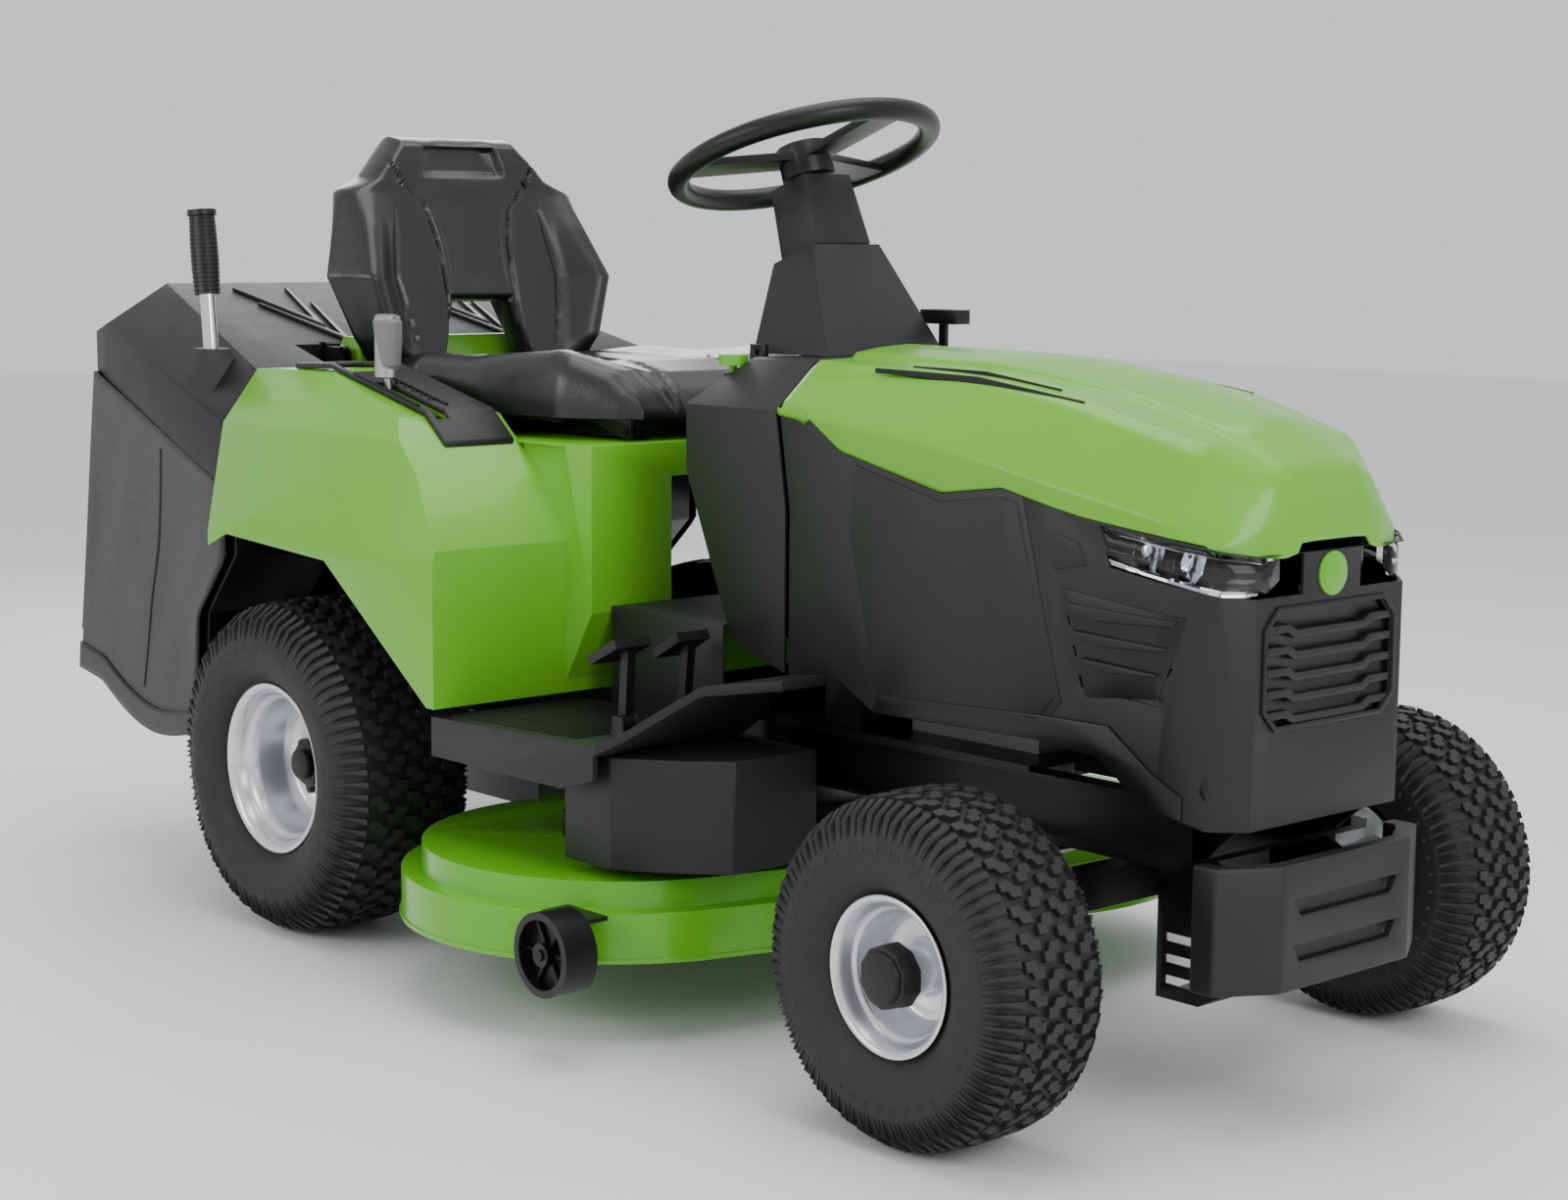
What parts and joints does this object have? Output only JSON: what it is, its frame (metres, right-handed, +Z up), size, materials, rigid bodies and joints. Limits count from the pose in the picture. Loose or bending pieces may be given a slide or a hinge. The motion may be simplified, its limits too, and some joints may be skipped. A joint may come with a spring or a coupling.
{
  "type": "riding lawn mower",
  "caption": "Riding lawn mower with a tilting hood, steered front axle, bucket seat on rails, height-adjustable twin-blade deck and a tipping rear grass collector.",
  "frame": {"origin": "on the ground under the middle of the machine's bounding box", "axes": "+X forward to the bumper, +Y to the rider's left, +Z up"},
  "size_m": [2.133, 1.091, 1.12],
  "materials": {
    "green_panel": "satin",
    "green_steel": "gloss",
    "charcoal_plastic": "satin",
    "black_plastic": "satin",
    "black_steel": "satin",
    "bare_steel": "satin",
    "handle_chrome": "polished",
    "rim_silver": "gloss",
    "tyre_rubber": "matte",
    "seat_vinyl": "satin",
    "bag_fabric": "matte",
    "lamp_lens": "gloss",
    "knob_green": "gloss",
    "engine_metal": "matte"
  },
  "bodies": {
    "chassis": {"frame_rails": "black_steel", "frame_cross_plates": "black_steel", "engine": "engine_metal", "engine_cowl": "black_plastic", "muffler": "bare_steel", "fuel_tank": "black_plastic", "transaxle": "engine_metal", "rear_plate": "black_steel", "discharge_chute": "black_plastic", "rear_fender": "green_panel", "height_console": "charcoal_plastic", "footboards": "charcoal_plastic", "side_shrouds": "charcoal_plastic", "centre_step": "charcoal_plastic", "dash_cowl": "charcoal_plastic", "steering_column": "charcoal_plastic", "bumper": "charcoal_plastic", "bumper_bracket": "black_steel", "seat_rails": "black_steel"},
    "hood": {"hood_top": "green_panel", "hood_panels": "charcoal_plastic", "front_fascia": "charcoal_plastic", "grille": "charcoal_plastic", "headlights": "lamp_lens"},
    "steering": {"steering_wheel": "black_plastic", "steering_shaft": "bare_steel"},
    "front_axle": {"front_axle_beam": "black_steel"},
    "knuckle_right": {"steering_knuckle_right": "black_steel"},
    "knuckle_left": {"steering_knuckle_left": "black_steel"},
    "tie_rod": {"tie_rod": "bare_steel"},
    "front_wheel_right": {"front_rim_right": "rim_silver", "front_tyre_right": "tyre_rubber"},
    "front_wheel_left": {"front_rim_left": "rim_silver", "front_tyre_left": "tyre_rubber"},
    "rear_wheel_right": {"rear_rim_right": "rim_silver", "rear_tyre_right": "tyre_rubber"},
    "rear_wheel_left": {"rear_rim_left": "rim_silver", "rear_tyre_left": "tyre_rubber"},
    "seat_carriage": {"seat_slide": "black_steel"},
    "seat": {"seat_pan": "black_steel", "seat_cushion": "seat_vinyl", "seat_back": "seat_vinyl"},
    "deck": {"deck_shell": "green_steel", "belt_cover": "black_plastic", "deck_brackets": "black_steel"},
    "blade_right": {"blade_right": "black_steel"},
    "blade_left": {"blade_left": "black_steel"},
    "gauge_wheel_right": {"gauge_wheel_right": "black_plastic"},
    "gauge_wheel_left": {"gauge_wheel_left": "black_plastic"},
    "collector": {"collector_bag": "bag_fabric", "collector_lid": "charcoal_plastic", "collector_frame": "black_steel"},
    "collector_handle": {"collector_handle": "handle_chrome"},
    "height_lever": {"height_lever": "bare_steel"},
    "throttle_lever": {"throttle_lever": "black_plastic"},
    "ignition_key": {"ignition_key": "black_plastic"},
    "blade_knob": {"blade_knob": "knob_green"},
    "forward_pedal": {"forward_pedal": "black_plastic"},
    "reverse_pedal": {"reverse_pedal": "black_plastic"},
    "brake_pedal": {"brake_pedal": "black_plastic"}
  },
  "joints": [
    {"name": "rear_wheel_right_spin", "type": "hinge", "parent": "chassis", "child": "rear_wheel_right", "pos_m": [-0.3765, -0.373, 0.228], "axis": [0, 1, 0], "continuous": true},
    {"name": "knuckle_right_turn", "type": "hinge", "parent": "front_axle", "child": "knuckle_right", "pos_m": [0.8235, -0.27, 0.23], "axis": [0, 0, 1], "range_deg": [-28, 28]},
    {"name": "front_wheel_right_spin", "type": "hinge", "parent": "knuckle_right", "child": "front_wheel_right", "pos_m": [0.8235, -0.388, 0.19], "axis": [0, 1, 0], "continuous": true},
    {"name": "rear_wheel_left_spin", "type": "hinge", "parent": "chassis", "child": "rear_wheel_left", "pos_m": [-0.3765, 0.373, 0.228], "axis": [0, 1, 0], "continuous": true},
    {"name": "knuckle_left_turn", "type": "hinge", "parent": "front_axle", "child": "knuckle_left", "pos_m": [0.8235, 0.27, 0.23], "axis": [0, 0, 1], "range_deg": [-28, 28]},
    {"name": "front_wheel_left_spin", "type": "hinge", "parent": "knuckle_left", "child": "front_wheel_left", "pos_m": [0.8235, 0.388, 0.19], "axis": [0, 1, 0], "continuous": true},
    {"name": "axle_oscillation", "type": "hinge", "parent": "chassis", "child": "front_axle", "pos_m": [0.8235, 0, 0.237], "axis": [1, 0, 0], "range_deg": [-6, 6]},
    {"name": "steering_wheel_turn", "type": "hinge", "parent": "chassis", "child": "steering", "pos_m": [0.1875, 0, 1.051], "axis": [-0.3355, 0, 0.9421], "range_deg": [-150, 150]},
    {"name": "tie_rod_swing", "type": "hinge", "parent": "knuckle_left", "child": "tie_rod", "pos_m": [0.7335, 0.27, 0.258], "axis": [0, 0, 1], "range_deg": [-28, 28]},
    {"name": "hood_tilt", "type": "hinge", "parent": "chassis", "child": "hood", "pos_m": [1.0035, 0, 0.345], "axis": [0, 1, 0], "range_deg": [0, 60]},
    {"name": "seat_fore_aft", "type": "slide", "parent": "chassis", "child": "seat_carriage", "axis": [1, 0, 0], "range_m": [0, 0.08]},
    {"name": "seat_tilt", "type": "hinge", "parent": "seat_carriage", "child": "seat", "pos_m": [0.0355, 0, 0.697], "axis": [0, 1, 0], "range_deg": [0, 55]},
    {"name": "height_lever_turn", "type": "hinge", "parent": "chassis", "child": "height_lever", "pos_m": [-0.2445, -0.35, 0.52], "axis": [0, 1, 0], "range_deg": [0, 30]},
    {"name": "deck_lift", "type": "slide", "parent": "chassis", "child": "deck", "axis": [0, 0, 1], "range_m": [-0.06, 0]},
    {"name": "blade_right_spin", "type": "hinge", "parent": "deck", "child": "blade_right", "pos_m": [0.1295, -0.248, 0.16], "axis": [0, 0, 1], "continuous": true},
    {"name": "blade_left_spin", "type": "hinge", "parent": "deck", "child": "blade_left", "pos_m": [0.2695, 0.248, 0.16], "axis": [0, 0, 1], "continuous": true},
    {"name": "gauge_wheel_right_spin", "type": "hinge", "parent": "deck", "child": "gauge_wheel_right", "pos_m": [0.3435, -0.52, 0.13], "axis": [0, 1, 0], "continuous": true},
    {"name": "gauge_wheel_left_spin", "type": "hinge", "parent": "deck", "child": "gauge_wheel_left", "pos_m": [0.4835, 0.52, 0.13], "axis": [0, 1, 0], "continuous": true},
    {"name": "throttle_turn", "type": "hinge", "parent": "chassis", "child": "throttle_lever", "pos_m": [0.3235, 0.12, 0.772], "axis": [0, 1, 0], "range_deg": [-25, 20]},
    {"name": "key_turn", "type": "hinge", "parent": "chassis", "child": "ignition_key", "pos_m": [0.2355, -0.117, 0.79], "axis": [0, 0, 1], "range_deg": [0, 90]},
    {"name": "blade_knob_pull", "type": "slide", "parent": "chassis", "child": "blade_knob", "axis": [0, 0, 1], "range_m": [0, 0.02]},
    {"name": "forward_pedal_press", "type": "hinge", "parent": "chassis", "child": "forward_pedal", "pos_m": [0.2785, -0.365, 0.372], "axis": [0, 1, 0], "range_deg": [0, 18], "stiffness_Nm_per_rad": 4, "springref_deg": -5.73},
    {"name": "reverse_pedal_press", "type": "hinge", "parent": "chassis", "child": "reverse_pedal", "pos_m": [0.2785, -0.275, 0.372], "axis": [0, 1, 0], "range_deg": [0, 18], "stiffness_Nm_per_rad": 4, "springref_deg": -5.73},
    {"name": "brake_pedal_press", "type": "hinge", "parent": "chassis", "child": "brake_pedal", "pos_m": [0.2785, 0.332, 0.372], "axis": [0, 1, 0], "range_deg": [0, 18], "stiffness_Nm_per_rad": 4, "springref_deg": -5.73},
    {"name": "collector_tip", "type": "hinge", "parent": "chassis", "child": "collector", "pos_m": [-0.5915, 0, 0.772], "axis": [0, 1, 0], "range_deg": [0, 55]},
    {"name": "collector_handle_draw", "type": "slide", "parent": "collector", "child": "collector_handle", "axis": [-0.0975, 0, 0.9952], "range_m": [0, 0.12]}
  ],
  "couplings": [
    {"joint": "knuckle_right_turn", "follows": "steering_wheel_turn", "ratio": 0.18667},
    {"joint": "knuckle_left_turn", "follows": "steering_wheel_turn", "ratio": 0.18667},
    {"joint": "tie_rod_swing", "follows": "steering_wheel_turn", "ratio": -0.18667},
    {"joint": "deck_lift", "follows": "height_lever_turn", "m_per_rad": -0.11459},
    {"joint": "blade_left_spin", "follows": "blade_right_spin", "ratio": 1}
  ]
}
